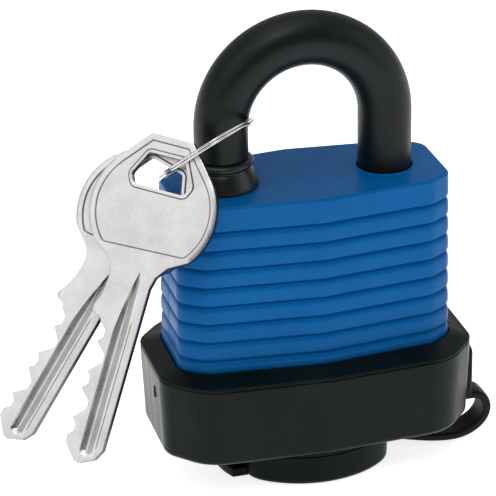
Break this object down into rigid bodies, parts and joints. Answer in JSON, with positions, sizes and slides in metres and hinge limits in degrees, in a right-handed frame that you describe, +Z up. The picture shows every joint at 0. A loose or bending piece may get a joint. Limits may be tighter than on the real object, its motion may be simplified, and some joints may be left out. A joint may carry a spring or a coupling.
{
  "type": "padlock",
  "caption": "Weatherproof laminated padlock with ribbed cover, rubber base bumper, tethered keyway cap, sleeved shackle and two keys on a split ring",
  "frame": {"origin": "Centre of the flat underside of the keyway cap, the face that the padlock stands on; the middle of the body is straight above it.", "axes": "+Z up along the shackle's legs, +X from the toe leg towards the heel leg (the side that the cap's strap is on), -Y towards the front."},
  "size_m": [0.0895, 0.0426, 0.0822],
  "materials": {
    "cover_plastic": "blue moulded plastic, satin",
    "bumper_rubber": "black rubber, satin",
    "cap_rubber": "black rubber, dull",
    "strap_rubber": "black rubber, satin on its outer face",
    "seal_rubber": "black rubber, slightly glossy",
    "sleeve_vinyl": "black vinyl, satin gloss",
    "shackle_steel": "ground hardened steel",
    "plate_steel": "zinc-plated sheet steel, blanked edges",
    "rivet_steel": "zinc-plated steel",
    "cylinder_brass": "machined brass",
    "pin_brass": "turned brass",
    "spring_steel": "spring steel, oiled",
    "latch_steel": "hardened steel",
    "ring_steel": "bright nickel-plated spring steel",
    "key_metal": "satin nickel plate"
  },
  "bodies": {
    "lock_body": {"body_cover": "cover_plastic", "base_bumper": "bumper_rubber", "strap_anchor": "bumper_rubber", "toe_seal": "seal_rubber", "plate_01": "plate_steel", "plate_02": "plate_steel", "plate_03": "plate_steel", "plate_04": "plate_steel", "plate_05": "plate_steel", "plate_06": "plate_steel", "plate_07": "plate_steel", "plate_08": "plate_steel", "plate_09": "plate_steel", "plate_10": "plate_steel", "plate_11": "plate_steel", "plate_12": "plate_steel", "plate_13": "plate_steel", "plate_14": "plate_steel", "body_rivets": "rivet_steel", "cylinder_shell": "cylinder_brass", "driver_pins": "pin_brass", "pin_springs": "spring_steel", "shackle_spring": "spring_steel", "heel_retainer": "spring_steel", "plug_clip": "spring_steel", "latch_spring": "spring_steel"},
    "shackle": {"shackle": "shackle_steel", "shackle_sleeve": "sleeve_vinyl"},
    "plug": {"cylinder_plug": "cylinder_brass", "key_pins": "pin_brass", "tail_cam": "latch_steel"},
    "latch": {"locking_latch": "latch_steel"},
    "cap": {"keyway_cap": "cap_rubber", "cap_strap": "strap_rubber"},
    "ring": {"split_ring": "ring_steel"},
    "key_one": {"key_1": "key_metal"},
    "key_two": {"key_2": "key_metal"}
  },
  "joints": [
    {"name": "shackle_lift", "type": "slide", "parent": "lock_body", "child": "shackle", "axis": [0, 0, 1], "range_m": [0, 0.0212], "deforming": ["shackle_spring"]},
    {"name": "plug_turn", "type": "hinge", "parent": "lock_body", "child": "plug", "pos_m": [0, -0.0026, 0.024], "axis": [0, 0, 1], "range_deg": [0, 60]},
    {"name": "latch_slide", "type": "slide", "parent": "lock_body", "child": "latch", "axis": [-1, 0, 0], "range_m": [0, 0.002], "deforming": ["latch_spring"]},
    {"name": "cap_swing", "type": "hinge", "parent": "lock_body", "child": "cap", "pos_m": [0.0293, -0.0035, 0.0089], "axis": [0, -1, 0], "range_deg": [0, 90]},
    {"name": "ring_swing", "type": "hinge", "parent": "shackle", "child": "ring", "pos_m": [-0.00921, -0.00201, 0.0648], "axis": [0.2381, 0.8775, -0.4162], "range_deg": [0, 35]},
    {"name": "key_1_swing", "type": "hinge", "parent": "ring", "child": "key_one", "pos_m": [-0.0247, -0.00733, 0.06007], "axis": [-0.4286, -0.7423, 0.515], "range_deg": [-14, 0]},
    {"name": "key_2_swing", "type": "hinge", "parent": "ring", "child": "key_two", "pos_m": [-0.02556, -0.00535, 0.05841], "axis": [-0.4286, -0.7423, 0.515], "range_deg": [-20, 0]}
  ],
  "couplings": [
    {"joint": "plug_turn", "follows": "latch_slide", "rad_per_m": 523.5}
  ]
}
